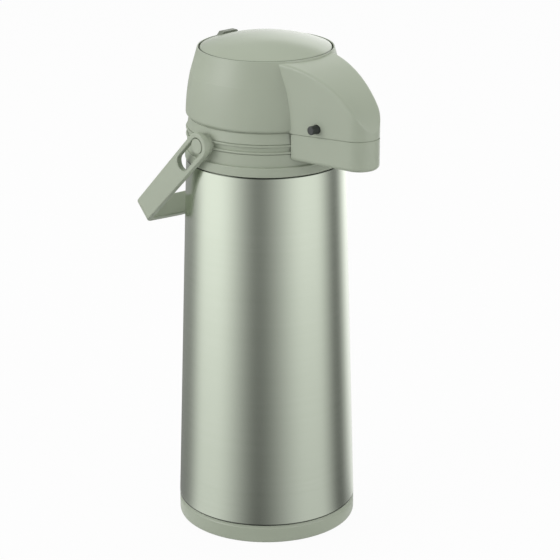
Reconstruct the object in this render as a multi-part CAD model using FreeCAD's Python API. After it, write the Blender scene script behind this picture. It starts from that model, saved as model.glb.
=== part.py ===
import FreeCAD, Part
import math
import os

# Pump pot: a steel vacuum flask on a base cap, with a collar and spout that carry a hinged pump head
# and a carrying handle. Millimetres, +Z up, nose towards -Y, origin at the middle of the standing face.

# Clearances
running_gap = 0.3
fit_gap = 0.15
bearing_gap = 0.05
overcut = 1.0
flat_within = 0.01

# Base cap and rubber foot
base_step = 0.3
base_height = 13.7
base_floor = 2.4
base_edge_round = 4.0
base_top_round = 0.8
pad_inset = 10.0
pad_width = 9.0
pad_height = 2.2
pad_stand = 1.0
spigot_height = 8.0
spigot_wall = 2.4

# Vacuum flask
seam_gap = 0.5
shell_wall = 0.8
shell_bottom_radius = 63.3
shell_taper = 7.8
shell_height = 253.0
shoulder_rise = 5.3
shoulder_round = 1.0
neck_step = 21.5
neck_height = 10.3
neck_round = 2.0
bottom_lift = 6.0
bottom_rim = 4.0
bottom_round = 1.5
vacuum_gap = 5.0
liner_wall = 0.8
liner_foot_round = 14.0
liner_shoulder_drop = 9.0
liner_shoulder_rise = 9.0
liner_shoulder_round = 12.0
mouth_step = 3.8
weld_height = 2.0

# Shoulder ring and collar
ring_overhang = 0.7
ring_height = 6.9
ring_width = 11.5
ring_edge_round = 0.8
collar_inset = 0.9
collar_band = 8.6
collar_groove_depth = 0.8
collar_wall = 2.8
collar_foot = 2.2
bead_height = 1.8
bead_depth = 1.5
bead_round = 0.8
bead_gap = 0.3
bead_spacing = 4.8
collar_top_inset = 1.4
collar_rim = 3.8
mouth_gasket_height = 1.8
throat_step = 0.8
throat_wall = 2.4
throat_edge = 1.1
deck_thickness = 2.4

# Pouring pipe
pipe_radius = 4.0
pipe_wall = 0.9
pipe_bend = 9.0
pipe_drop = 17.6
seal_wall = 1.2
seal_length = 4.4
packing_wall = 2.0
packing_length = 16.0
packing_rise = 6.5
tube_lift = 4.0
tube_notch = 5.0
nozzle_bore = 3.2
nozzle_wall = 2.6
nozzle_flange = 1.6
nozzle_roof = 1.8
nozzle_reach = 1.2
socket_depth = 3.0

# Nose, in plan and from the side; the centre of its round tip lies nose_reach ahead of the barrel
nose_reach = 37.7
nose_tip_radius = 13.4
nose_taper_degrees = 12.0
nose_root_depth = 25.3
nose_wall = 2.2
nose_bottom_drop = 18.4
nose_bottom_round = 3.0
nose_crease_round = 2.0
nose_shoulder_height = 46.2
nose_slope_height = 41.1
nose_slope_back = 24.3
nose_brow_height = 30.1
nose_brow_back = 4.0
nose_chin_height = 19.6
nose_chin_ahead = 6.6
nose_lip_height = -2.0
nose_lip_ahead = 15.6
seam_rise = 0.05
seam_start_inset = 3.3
sleeve_half_width = 8.0
sleeve_reach = 3.0

# Pump head
head_gap = 0.6
head_wall = 2.3
barrel_overhang = 0.7
barrel_edge_round = 2.7
barrel_mid_inset = 1.0
barrel_mid_height = 16.2
taper_inset = 3.3
taper_height = 29.7
rim_inset = 8.3
rim_height = 47.2
guide_wall = 1.7
guide_depth = 26.0
plate_inset = 0.8
plate_thickness = 2.6
plate_spigot_step = 2.5
plate_spigot_wall = 7.0
lid_gasket_inset = 1.0
lid_gasket_height = 2.5
boss_radius = 2.6
boss_height = 20.0
boss_inset = 6.3
boss_count = 4
boss_first_degrees = 45.0
screw_radius = 1.4
screw_head_radius = 2.4
screw_head_height = 1.6
screw_length = 12.0
valve_radius = 7.2
valve_thickness = 1.0
valve_stem_radius = 1.5
valve_bulb_radius = 2.3
valve_bulb_height = 1.2
air_hole_radius = 1.2
air_hole_circle = 4.4
air_hole_count = 6

# Bellows, return spring and push button
bellows_height = 34.8
bellows_inset = 12.3
bellows_fold_depth = 6.5
bellows_wall = 1.0
bellows_folds = 4
bellows_lip = 1.2
spring_inset = 7.5
spring_wire_radius = 0.9
spring_turns = 6
spring_points_per_turn = 48
button_rim_land = 1.4
button_gap = 0.7
button_edge_drop = 0.1
button_edge_round = 0.8
button_dome_rise = 8.7
button_wall = 2.4
press_travel = 20.0
press_floor_gap = 0.9
button_skirt_wall = 1.9
button_post_radius = 10.0
button_post_wall = 3.0
press_plate_rim = 1.0
press_plate_thickness = 2.5
press_plate_hole = 5.0
press_rib_height = 2.0
press_rib_width = 1.6
press_rib_count = 6
press_rib_margin = 3.2

# Button lock, set in the rear of the dome
lock_travel = 3.0
lock_ridge_inset = 3.9
lock_ridge_length = 5.0
lock_ridge_top_half = 6.0
lock_ridge_base_half = 10.0
lock_ridge_height = 2.8
lock_leg_half = 5.6
lock_leg_length = 3.1
lock_flange_half = 8.5
lock_flange_thickness = 2.2
lock_flange_drop = 2.6
lock_tongue_drop = 14.0
lock_tongue_thickness = 3.0
lock_tongue_inset = 0.6

# Lid lock bar across the nose and its keeper
bar_radius = 3.0
bar_reach = 15.5
bar_lift = 6.2
bar_travel = 5.0
bar_proud = 0.7
bar_waist_radius = 1.3
bar_end_round = 0.6
keeper_inset = 7.2
keeper_thickness = 2.4
keeper_half_length = 7.0
keeper_top = 5.0
keeper_slot_half = 2.2

# Rear hinge
hinge_reach = 4.7
hinge_drop = 0.3
knuckle_radius = 4.0
knuckle_half = 8.1
lug_width = 7.0
lug_depth = 10.0
hinge_pin_radius = 1.6

# Carrying handle
pivot_lift = 11.4
strap_inset = 0.3
pivot_boss_radius = 7.5
stud_radius = 5.3
stud_shank_radius = 4.3
stud_foot = 5.0
stud_edge_round = 0.6
slot_gap = 0.4
slot_length = 21.0
strap_thickness = 4.5
strap_end_half = 9.2
strap_bar_half = 8.1
strap_rest_gap = 0.5
strap_bow = 5.2
strap_bow_run = 39.0
strap_corner_round = 7.0
strap_edge_round = 0.8
strap_bow_round = 180.0
handle_rest_degrees = 44.5

# Radii and forward distances that follow from the sizes above
base_radius = shell_bottom_radius - base_step
pad_outer_radius = base_radius - pad_inset
pad_inner_radius = pad_outer_radius - pad_width
shell_top_radius = shell_bottom_radius - shell_taper
neck_radius = shell_top_radius - neck_step
mouth_radius = neck_radius - mouth_step
throat_radius = mouth_radius + throat_step
ring_inner_radius = shell_top_radius - ring_width
collar_radius = shell_top_radius - collar_inset
collar_inner_radius = collar_radius - collar_wall
barrel_radius = collar_radius + barrel_overhang
barrel_mid_radius = barrel_radius - barrel_mid_inset
taper_radius = barrel_radius - taper_inset
rim_radius = barrel_radius - rim_inset
boss_circle = barrel_radius - boss_inset
plate_spigot_inner = throat_radius + plate_spigot_step
plate_spigot_outer = plate_spigot_inner + plate_spigot_wall
button_radius = rim_radius - button_rim_land
bore_radius = button_radius + button_gap
bellows_outer_radius = bore_radius - bellows_inset
bellows_inner_radius = bellows_outer_radius - bellows_fold_depth
spring_radius = bellows_inner_radius - spring_inset
press_plate_radius = bellows_outer_radius + press_plate_rim
lock_ridge_rear = button_radius - lock_ridge_inset
lock_tongue_rear = button_radius - lock_tongue_inset
seal_radius = pipe_radius + seal_wall
nozzle_radius = nozzle_bore + nozzle_wall
hinge_back = barrel_radius + hinge_reach
bar_forward = barrel_radius + bar_reach
nose_root_forward = barrel_radius - nose_root_depth
nose_tip_forward = barrel_radius + nose_reach
nose_slope_forward = nose_tip_forward - nose_slope_back
nose_brow_forward = nose_tip_forward - nose_brow_back
nose_chin_forward = nose_tip_forward + nose_chin_ahead
nose_lip_forward = nose_tip_forward + nose_lip_ahead
seam_start_forward = barrel_radius - seam_start_inset
strap_outer = shell_bottom_radius - strap_inset
strap_bow_half = strap_outer - strap_bow_run
boss_face = strap_outer - strap_thickness - running_gap

# Heights that follow from the sizes above
base_floor_z = pad_height + base_floor
shell_bottom_z = base_height + seam_gap
shell_top_z = shell_bottom_z + shell_height
neck_top_z = shell_top_z + neck_height
ring_bottom_z = shell_top_z + running_gap
ring_top_z = ring_bottom_z + ring_height
bottom_disc_z = base_height + spigot_height + bottom_lift
liner_bottom_z = bottom_disc_z + shell_wall + vacuum_gap
liner_top_z = shell_top_z - liner_shoulder_drop
throat_bottom_z = neck_top_z + mouth_gasket_height
pipe_z = throat_bottom_z + throat_edge + seal_radius
deck_bottom_z = pipe_z + seal_radius + fit_gap
deck_top_z = deck_bottom_z + deck_thickness
collar_top_z = deck_top_z + collar_rim
head_bottom_z = collar_top_z + head_gap
plate_bottom_z = head_bottom_z + plate_inset
plate_top_z = plate_bottom_z + plate_thickness
lid_gasket_bottom_z = deck_top_z + running_gap
lid_gasket_top_z = lid_gasket_bottom_z + lid_gasket_height
rim_z = head_bottom_z + rim_height
guide_bottom_z = rim_z - guide_depth
bellows_top_z = plate_top_z + bellows_height
press_top_z = bellows_top_z + press_plate_thickness
button_edge_z = rim_z - button_edge_drop
dome_top_z = button_edge_z + button_dome_rise
dome_radius = (button_radius**2 + button_dome_rise**2) / (2 * button_dome_rise)
dome_centre_z = dome_top_z - dome_radius
skirt_bottom_z = plate_top_z + press_travel + press_floor_gap
nose_bottom_z = collar_top_z - nose_bottom_drop
nose_floor_z = nose_bottom_z + nose_wall
bar_z = head_bottom_z + bar_lift
hinge_z = head_bottom_z - hinge_drop
pivot_z = ring_top_z + pivot_lift
lower_joint_z = pipe_z - pipe_drop
far = dome_top_z

# Reach of the handle, so that its bar hangs strap_rest_gap off the flask's tapered wall at rest
handle_rest = math.radians(handle_rest_degrees)
taper_rate = shell_taper / shell_height
corner_z = pivot_z - strap_bar_half * math.cos(handle_rest)
wall_at_corner = shell_bottom_radius - taper_rate * (corner_z - shell_bottom_z)
corner_out = wall_at_corner + strap_rest_gap + strap_bar_half * math.sin(handle_rest)
bar_inner_reach = corner_out / (math.cos(handle_rest) - taper_rate * math.sin(handle_rest))
strap_reach = bar_inner_reach + strap_thickness - strap_bow

up = FreeCAD.Vector(0, 0, 1)
right = FreeCAD.Vector(1, 0, 0)
rearward = FreeCAD.Vector(0, 1, 0)
origin = FreeCAD.Vector(0, 0, 0)


def point(x, y, z):
    return FreeCAD.Vector(x, y, z)


def in_section(radius, z):
    return point(radius, 0, z)


def in_plan(x, y):
    return point(x, y, 0)


def from_side(forward, z):
    return point(0, -forward, z)


def via(u, v):
    return ("via", u, v)


def corner_arc(before, corner, after, radius):
    to_before = (before - corner).normalize()
    to_after = (after - corner).normalize()
    half = to_before.getAngle(to_after) / 2
    reach = radius / math.tan(half)
    inward = (to_before + to_after).normalize()
    middle = corner + inward * (radius / math.sin(half) - radius)
    return corner + to_before * reach, middle, corner + to_after * reach


def closed_face(corners, place):
    # A corner is (u, v) or (u, v, round). A via point after it bends the side that follows into an arc,
    # and several bend it into a smooth curve.
    stops = []
    bends = []
    for corner in corners:
        if corner[0] == "via":
            bends[-1].append(place(corner[1], corner[2]))
        else:
            stops.append(corner)
            bends.append([])
    spots = [place(stop[0], stop[1]) for stop in stops]
    arrive = list(spots)
    leave = list(spots)
    middles = [None] * len(stops)
    for i, stop in enumerate(stops):
        if len(stop) == 3:
            after = spots[(i + 1) % len(spots)]
            arrive[i], middles[i], leave[i] = corner_arc(spots[i - 1], spots[i], after, stop[2])
    edges = []
    for i in range(len(stops)):
        if middles[i] is not None:
            edges.append(Part.Arc(arrive[i], middles[i], leave[i]).toShape())
        end = arrive[(i + 1) % len(stops)]
        if len(bends[i]) > 1:
            curve = Part.BSplineCurve()
            curve.interpolate([leave[i], *bends[i], end])
            edges.append(curve.toShape())
        elif bends[i]:
            edges.append(Part.Arc(leave[i], bends[i][0], end).toShape())
        elif leave[i].distanceToPoint(end) > flat_within:
            edges.append(Part.makeLine(leave[i], end))
    return Part.Face(Part.Wire(edges))


def turned(corners):
    return closed_face(corners, in_section).revolve(origin, up, 360)


def raised(face, low, high):
    lifted = face.copy()
    lifted.translate(point(0, 0, low))
    return lifted.extrude(point(0, 0, high - low))


def across(face, half_width):
    moved = face.copy()
    moved.translate(point(-half_width, 0, 0))
    return moved.extrude(point(2 * half_width, 0, 0))


def ring(inner, outer, low, high):
    return turned([(inner, low), (outer, low), (outer, high), (inner, high)])


def block(x_low, x_high, y_low, y_high, z_low, z_high):
    return Part.makeBox(x_high - x_low, y_high - y_low, z_high - z_low, point(x_low, y_low, z_low))


def cross_rod(radius, x_low, x_high, y, z):
    return Part.makeCylinder(radius, x_high - x_low, point(x_low, y, z), right)


def spread(count, radius, first_degrees):
    # Places evenly round the pot's axis.
    angles = [math.radians(first_degrees + 360 * i / count) for i in range(count)]
    return [(radius * math.cos(angle), radius * math.sin(angle)) for angle in angles]


def one_solid(shape):
    joined = shape.removeSplitter()
    return joined.Solids[0] if len(joined.Solids) == 1 else joined


def shell_radius(z):
    share = (z - shell_bottom_z) / shell_height
    return shell_bottom_radius + (shell_top_radius - shell_bottom_radius) * share


def shoulder_z(radius):
    return shell_top_z + shoulder_rise * (shell_top_radius - radius) / (shell_top_radius - neck_radius)


def dome_z(radius, drop):
    return dome_centre_z + math.sqrt((dome_radius - drop)**2 - radius**2)


# Base and flask


def base_cap():
    spigot_top_z = base_height + spigot_height
    spigot_radius = shell_radius(spigot_top_z) - shell_wall - fit_gap
    return turned([
        (0, pad_stand),
        (pad_inner_radius - fit_gap, pad_stand),
        (pad_inner_radius - fit_gap, pad_height),
        (pad_outer_radius + fit_gap, pad_height),
        (pad_outer_radius + fit_gap, pad_stand),
        (base_radius, pad_stand, base_edge_round),
        (base_radius, base_height, base_top_round),
        (spigot_radius, base_height),
        (spigot_radius, spigot_top_z),
        (spigot_radius - spigot_wall, spigot_top_z),
        (spigot_radius - spigot_wall, base_floor_z, spigot_wall),
        (0, base_floor_z),
    ])


def base_pad():
    return ring(pad_inner_radius, pad_outer_radius, 0, pad_height)


def outer_shell():
    return turned([
        (shell_bottom_radius, shell_bottom_z),
        (shell_top_radius, shell_top_z, shoulder_round),
        (neck_radius, shell_top_z + shoulder_rise, neck_round),
        (neck_radius, neck_top_z),
        (neck_radius - shell_wall, neck_top_z),
        (neck_radius - shell_wall, shell_top_z + shoulder_rise - shell_wall, neck_round + shell_wall),
        (shell_top_radius - shell_wall, shell_top_z - shell_wall),
        (shell_bottom_radius - shell_wall, shell_bottom_z),
    ])


def shell_bottom():
    top_z = bottom_disc_z + shell_wall
    radius = shell_radius(top_z) - shell_wall - fit_gap
    rim_bottom_z = bottom_disc_z - bottom_rim
    return turned([
        (0, top_z),
        (radius, top_z, bottom_round),
        (radius, rim_bottom_z),
        (radius - shell_wall, rim_bottom_z),
        (radius - shell_wall, bottom_disc_z, bottom_round - shell_wall),
        (0, bottom_disc_z),
    ])


def inner_liner():
    foot_radius = shell_radius(liner_bottom_z) - shell_wall - vacuum_gap
    top_radius = shell_radius(liner_top_z) - shell_wall - vacuum_gap
    throat_z = liner_top_z + liner_shoulder_rise
    outer_neck = mouth_radius + liner_wall
    weld_radius = neck_radius - shell_wall - fit_gap
    return turned([
        (0, liner_bottom_z),
        (foot_radius, liner_bottom_z, liner_foot_round),
        (top_radius, liner_top_z, liner_shoulder_round),
        (outer_neck, throat_z, liner_wall),
        (outer_neck, neck_top_z - weld_height),
        (weld_radius, neck_top_z - weld_height),
        (weld_radius, neck_top_z),
        (mouth_radius, neck_top_z),
        (mouth_radius, throat_z - liner_wall, 2 * liner_wall),
        (top_radius - liner_wall, liner_top_z - liner_wall, liner_shoulder_round - liner_wall),
        (foot_radius - liner_wall, liner_bottom_z + liner_wall, liner_foot_round - liner_wall),
        (0, liner_bottom_z + liner_wall),
    ])


# Shoulder ring and collar


def shoulder_ring():
    outer = shell_top_radius + ring_overhang
    inner_bottom_z = shoulder_z(ring_inner_radius) + running_gap
    return turned([
        (outer, ring_bottom_z, ring_edge_round),
        (outer, ring_top_z, ring_edge_round),
        (ring_inner_radius, ring_top_z),
        (ring_inner_radius, inner_bottom_z),
        (shell_top_radius, ring_bottom_z),
    ])


def collar_section():
    groove = collar_radius - collar_groove_depth
    bead = groove + bead_depth
    band_top_z = ring_top_z + collar_band
    first_z = band_top_z + bead_gap
    second_z = first_z + bead_spacing
    upper_band_z = second_z + bead_height + bead_gap
    inner = collar_inner_radius
    return [
        (collar_radius, ring_top_z),
        (collar_radius, band_top_z),
        (groove, band_top_z),
        (groove, first_z),
        (bead, first_z, bead_round),
        (bead, first_z + bead_height, bead_round),
        (groove, first_z + bead_height),
        (groove, second_z),
        (bead, second_z, bead_round),
        (bead, second_z + bead_height, bead_round),
        (groove, second_z + bead_height),
        (groove, upper_band_z),
        (collar_radius - fit_gap, upper_band_z),
        (collar_radius - collar_top_inset, collar_top_z),
        (inner, collar_top_z),
        (inner, deck_top_z),
        (throat_radius, deck_top_z),
        (throat_radius, throat_bottom_z),
        (throat_radius + throat_wall, throat_bottom_z),
        (throat_radius + throat_wall, deck_bottom_z),
        (inner, deck_bottom_z),
        (inner, ring_top_z + collar_foot),
        (ring_inner_radius, ring_top_z + collar_foot),
        (ring_inner_radius, ring_top_z),
    ]


def sleeve_bounds(grow):
    half = sleeve_half_width + grow
    return half, pipe_z - seal_radius + fit_gap - grow, pipe_z + seal_radius - fit_gap + grow


def hinge_lug():
    root = collar_inner_radius - collar_top_inset / 2
    back = hinge_back + knuckle_radius
    side = closed_face(
        [
            (-root, hinge_z - lug_depth),
            (-(hinge_back - knuckle_radius), hinge_z - lug_depth),
            (-back, hinge_z - knuckle_radius, knuckle_radius),
            (-back, hinge_z),
            (-(hinge_back - knuckle_radius), hinge_z),
            (-(hinge_back - knuckle_radius), collar_top_z - running_gap),
            (-root, collar_top_z - running_gap),
        ],
        from_side,
    )
    eye = cross_rod(knuckle_radius, 0, lug_width, hinge_back, hinge_z)
    return side.extrude(point(lug_width, 0, 0)).fuse(eye)


def collar():
    body = turned(collar_section())
    for side in (-1, 1):
        wall_x = collar_inner_radius + fit_gap
        start = point(side * wall_x, 0, pivot_z)
        body = body.fuse(Part.makeCylinder(pivot_boss_radius, boss_face - wall_x, start, right * side))
        lug = hinge_lug()
        lug_x = knuckle_half + running_gap if side > 0 else -knuckle_half - running_gap - lug_width
        lug.translate(point(lug_x, 0, 0))
        body = body.fuse(lug)
        seat = point(side * (boss_face - stud_foot), 0, pivot_z)
        body = body.cut(Part.makeCylinder(stud_shank_radius + fit_gap, far, seat, right * side))
    reach = knuckle_half + running_gap + lug_width + overcut
    body = body.cut(cross_rod(hinge_pin_radius + bearing_gap, -reach, reach, hinge_back, hinge_z))
    half, low, high = sleeve_bounds(fit_gap)
    body = body.cut(block(-half, half, -far, -collar_inner_radius + sleeve_reach, low, high))
    throat_front = point(0, -throat_radius + throat_wall, pipe_z)
    seat_length = 2 * throat_wall + seal_length
    body = body.cut(Part.makeCylinder(seal_radius + bearing_gap, seat_length, throat_front, -rearward))
    return one_solid(body)


def mouth_gasket():
    return ring(throat_radius, neck_radius, neck_top_z, throat_bottom_z)


# Nose


def nose_half_width(forward, inset):
    taper = math.radians(nose_taper_degrees)
    return (nose_tip_radius - inset) / math.cos(taper) + (nose_tip_forward - forward) * math.tan(taper)


def nose_plan(inset):
    # A round tip between two straight sides that widen towards the barrel.
    taper = math.radians(nose_taper_degrees)
    tip = nose_tip_radius - inset
    root_half = nose_half_width(nose_root_forward, inset)
    touch_half = tip * math.cos(taper)
    touch_forward = nose_tip_forward + tip * math.sin(taper)
    return closed_face(
        [
            (root_half, -nose_root_forward),
            (touch_half, -touch_forward),
            via(0, -nose_tip_forward - tip),
            (-touch_half, -touch_forward),
            (-root_half, -nose_root_forward),
        ],
        in_plan,
    )


def nose_side(inset):
    base = head_bottom_z - inset
    shift = -inset
    low = head_bottom_z - nose_bottom_drop
    return closed_face(
        [
            (nose_root_forward, low),
            (nose_root_forward, base + nose_shoulder_height),
            via(nose_slope_forward + shift, base + nose_slope_height),
            via(nose_brow_forward + shift, base + nose_brow_height),
            via(nose_chin_forward + shift, base + nose_chin_height),
            (nose_lip_forward + shift, base + nose_lip_height),
            (nose_lip_forward + shift, low),
        ],
        from_side,
    )


def above_seam(start_z):
    # Everything over the parting line between the spout cover and the head.
    end = seam_start_forward + far
    side = closed_face(
        [
            (-far, start_z),
            (seam_start_forward, start_z),
            (end, start_z + seam_rise * far),
            (end, start_z + far),
            (-far, start_z + far),
        ],
        from_side,
    )
    return across(side, far)


def keeper():
    # Upright tongue beside the pipe; its keyhole lets the bar's waist lift out and holds the full bar.
    top = bar_z + keeper_top
    x_low = -keeper_inset - keeper_thickness
    plate = block(x_low, -keeper_inset, -bar_forward - keeper_half_length, -bar_forward + keeper_half_length,
                  nose_floor_z, top)
    hole = cross_rod(bar_radius + running_gap, x_low - overcut, overcut - keeper_inset, -bar_forward, bar_z)
    slot = block(x_low - overcut, overcut - keeper_inset, -bar_forward - keeper_slot_half,
                 -bar_forward + keeper_slot_half, bar_z, top + overcut)
    return plate.cut(hole).cut(slot)


def spout_cover():
    back = collar_radius - collar_groove_depth + bead_depth + fit_gap
    body = raised(nose_plan(0), nose_bottom_z, rim_z)
    foot = [edge for edge in body.Edges if edge.BoundBox.ZMax < nose_bottom_z + fit_gap]
    body = body.makeFillet(nose_bottom_round, foot)
    body = body.cut(raised(nose_plan(nose_wall), nose_floor_z, rim_z + overcut))
    body = body.cut(Part.makeCylinder(back, far, point(0, 0, nose_bottom_z - overcut), up))
    body = body.fuse(cover_back(back))
    body = body.cut(above_seam(collar_top_z))
    half, low, high = sleeve_bounds(0)
    body = body.fuse(block(-half, half, -back - nose_wall / 2, -back + sleeve_reach, low, high))
    pipe_way = point(0, -back + 2 * sleeve_reach, pipe_z)
    body = body.cut(Part.makeCylinder(pipe_radius + running_gap, 4 * sleeve_reach, pipe_way, -rearward))
    body = body.fuse(keeper())
    nozzle_hole = point(0, -nose_tip_forward, nose_bottom_z - overcut)
    body = body.cut(Part.makeCylinder(nozzle_radius + fit_gap, 2 * nose_wall, nozzle_hole, up))
    return one_solid(body)


def cover_back(back):
    # Rear wall of the cover, curved along the collar.
    inside = raised(nose_plan(nose_wall / 2), nose_floor_z - nose_wall / 2, collar_top_z)
    return inside.common(ring(back, back + nose_wall, nose_bottom_z, collar_top_z))


def outlet_nozzle():
    # A closed pot over the floor of the nose that takes the pipe at its back and pours down through it.
    outer = nozzle_radius
    low = nose_bottom_z - nozzle_reach
    bore_top = pipe_z + pipe_radius
    body = turned([
        (nozzle_bore, low),
        (outer, low),
        (outer, nose_floor_z),
        (outer + nozzle_flange, nose_floor_z),
        (outer + nozzle_flange, bore_top + nozzle_roof),
        (0, bore_top + nozzle_roof),
        (0, bore_top),
        (nozzle_bore, bore_top),
    ])
    body.translate(point(0, -nose_tip_forward, 0))
    socket = point(0, pipe_front() - bearing_gap, pipe_z)
    return one_solid(body.cut(Part.makeCylinder(pipe_radius + bearing_gap, far, socket, rearward)))


def pipe_front():
    return -nose_tip_forward + nozzle_radius + nozzle_flange - socket_depth


def pipe_run(radius, extra):
    # From the joint with the dip tube up and forward along the nose into the nozzle.
    slant = pipe_bend * (1 - math.sqrt(0.5))
    foot = point(0, 0, lower_joint_z - extra)
    knee = point(0, 0, pipe_z - pipe_bend)
    knee_middle = point(0, -slant, pipe_z - slant)
    level = point(0, -pipe_bend, pipe_z)
    path = [
        Part.makeLine(foot, knee),
        Part.Arc(knee, knee_middle, level).toShape(),
        Part.makeLine(level, point(0, pipe_front() - extra, pipe_z)),
    ]
    mouth = Part.Wire([Part.makeCircle(radius, foot, up)])
    return Part.Wire(path).makePipeShell([mouth], True, False)


def spout_pipe():
    return one_solid(pipe_run(pipe_radius, 0).cut(pipe_run(pipe_radius - pipe_wall, overcut)))


def pipe_seal():
    start = point(0, -throat_radius + (seal_length - throat_wall) / 2, pipe_z)
    sleeve = Part.makeCylinder(seal_radius, seal_length, start, -rearward)
    return sleeve.cut(Part.makeCylinder(pipe_radius + bearing_gap, seal_length, start, -rearward))


def dip_tube():
    low = liner_bottom_z + liner_wall + tube_lift
    tube = ring(pipe_radius - pipe_wall, pipe_radius, low, lower_joint_z)
    notch = closed_face([(-pipe_radius, low), (0, low + tube_notch), (pipe_radius, low)], from_side)
    return one_solid(tube.cut(across(notch, 2 * pipe_radius)))


def tube_packing():
    top = lower_joint_z + packing_rise
    return ring(pipe_radius + bearing_gap, pipe_radius + packing_wall, top - packing_length, top)


# Pump head


def barrel_outline(inset):
    base = head_bottom_z
    return [
        (barrel_radius - inset, base + barrel_edge_round),
        via(barrel_mid_radius - inset, base + barrel_mid_height),
        (taper_radius - inset, base + taper_height),
    ]


def taper_inner_z(radius):
    lean = (taper_radius - rim_radius) / (rim_height - taper_height)
    return head_bottom_z + taper_height + (taper_radius - head_wall - radius) / lean


def barrel_solid():
    return turned([
        (0, head_bottom_z),
        (barrel_radius - barrel_edge_round, head_bottom_z),
        via(barrel_radius - barrel_edge_round * (1 - math.sqrt(0.5)),
            head_bottom_z + barrel_edge_round * (1 - math.sqrt(0.5))),
        *barrel_outline(0),
        (rim_radius, rim_z),
        (0, rim_z),
    ])


def barrel_cavity():
    guide_outer = bore_radius + guide_wall
    lower, bend, upper = barrel_outline(head_wall)
    return turned([
        (0, head_bottom_z - overcut),
        (lower[0], head_bottom_z - overcut),
        lower,
        bend,
        upper,
        (guide_outer, taper_inner_z(guide_outer)),
        (guide_outer, guide_bottom_z),
        (bore_radius, guide_bottom_z),
        (bore_radius, rim_z + overcut),
        (0, rim_z + overcut),
    ])


def nose_solid():
    body = raised(nose_plan(0), nose_bottom_z, rim_z).common(across(nose_side(0), barrel_radius))
    body = body.removeSplitter()
    crease = [edge for edge in body.Edges if is_crease(edge)]
    return body.makeFillet(nose_crease_round, crease)


def is_crease(edge):
    box = edge.BoundBox
    wall_height = box.ZMin > head_bottom_z + seam_rise * (nose_lip_forward - seam_start_forward)
    ahead = box.YMin < -nose_slope_forward
    level_across = box.YLength < flat_within
    return wall_height and ahead and not level_across


def hinge_knuckle():
    rod = cross_rod(knuckle_radius, -knuckle_half, knuckle_half, hinge_back, hinge_z)
    root = barrel_radius - head_wall / 2
    low = head_bottom_z + running_gap
    arm = block(-knuckle_half, knuckle_half, root - head_wall, hinge_back, low, hinge_z + knuckle_radius)
    return rod.fuse(arm)


def screw_places():
    return spread(boss_count, boss_circle, boss_first_degrees)


def head_shell():
    barrel = barrel_solid()
    body = barrel.fuse(nose_solid().common(above_seam(head_bottom_z)))
    hollow = raised(nose_plan(nose_wall), nose_bottom_z, rim_z)
    hollow = hollow.common(across(nose_side(nose_wall), barrel_radius)).cut(barrel)
    body = body.cut(hollow)
    body = body.fuse(hinge_knuckle())
    body = body.cut(barrel_cavity())
    for x, y in screw_places():
        foot = point(x, y, plate_top_z)
        body = body.fuse(Part.makeCylinder(boss_radius, boss_height, foot, up))
        body = body.cut(Part.makeCylinder(screw_radius + bearing_gap, screw_length, foot, up))
    pin_reach = knuckle_half + overcut
    body = body.cut(cross_rod(hinge_pin_radius + running_gap, -pin_reach, pin_reach, hinge_back, hinge_z))
    body = body.cut(cross_rod(bar_radius + running_gap, -barrel_radius, barrel_radius, -bar_forward, bar_z))
    tongue_low, tongue_high = tongue_heights()
    half = lock_leg_half + running_gap
    pocket_rear = bore_radius + guide_wall + 2 * bearing_gap
    body = body.cut(block(-half, half, bore_radius - 2 * guide_wall, pocket_rear,
                          tongue_low - running_gap, tongue_high + running_gap))
    return one_solid(body)


def pump_plate():
    radius = barrel_radius - head_wall - running_gap
    body = turned([
        (0, plate_bottom_z),
        (plate_spigot_inner, plate_bottom_z),
        (plate_spigot_inner, lid_gasket_top_z),
        (plate_spigot_outer, lid_gasket_top_z),
        (plate_spigot_outer, plate_bottom_z),
        (radius, plate_bottom_z),
        (radius, plate_top_z),
        (0, plate_top_z),
    ])
    holes = [(x, y, screw_radius + fit_gap) for x, y in screw_places()]
    holes += [(x, y, air_hole_radius) for x, y in spread(air_hole_count, air_hole_circle, 0)]
    holes.append((0, 0, valve_stem_radius + bearing_gap))
    for x, y, size in holes:
        start = point(x, y, plate_bottom_z - overcut)
        body = body.cut(Part.makeCylinder(size, plate_thickness + 2 * overcut, start, up))
    return one_solid(body)


def plate_screws():
    screws = []
    for x, y in screw_places():
        head = Part.makeCylinder(screw_head_radius, screw_head_height,
                                 point(x, y, plate_bottom_z - screw_head_height), up)
        shank = Part.makeCylinder(screw_radius, screw_length, point(x, y, plate_bottom_z), up)
        screws.append(one_solid(head.fuse(shank)))
    return Part.makeCompound(screws)


def lid_gasket():
    inner = plate_spigot_inner + lid_gasket_inset
    outer = plate_spigot_outer - lid_gasket_inset
    return ring(inner, outer, lid_gasket_bottom_z, lid_gasket_top_z)


def air_valve():
    return turned([
        (0, plate_bottom_z - valve_thickness),
        (valve_radius, plate_bottom_z - valve_thickness),
        (valve_radius, plate_bottom_z),
        (valve_stem_radius, plate_bottom_z),
        (valve_stem_radius, plate_top_z),
        (valve_bulb_radius, plate_top_z),
        (0, plate_top_z + valve_bulb_height),
    ])


# Bellows, spring and button


def bellows():
    low = plate_top_z + bellows_lip
    high = bellows_top_z - bellows_lip
    fold = (high - low) / bellows_folds
    outer = [(bellows_inner_radius + bellows_wall, low)]
    inner = [(bellows_inner_radius, low)]
    for i in range(bellows_folds):
        outer.append((bellows_outer_radius, low + fold * (i + 0.5)))
        inner.append((bellows_outer_radius - bellows_wall, low + fold * (i + 0.5)))
        outer.append((bellows_inner_radius + bellows_wall, low + fold * (i + 1)))
        inner.append((bellows_inner_radius, low + fold * (i + 1)))
    lip = bellows_outer_radius
    return turned([
        (bellows_inner_radius, plate_top_z),
        (lip, plate_top_z),
        (lip, low),
        *outer,
        (lip, high),
        (lip, bellows_top_z),
        (bellows_inner_radius, bellows_top_z),
        *inner[::-1],
    ])


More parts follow.
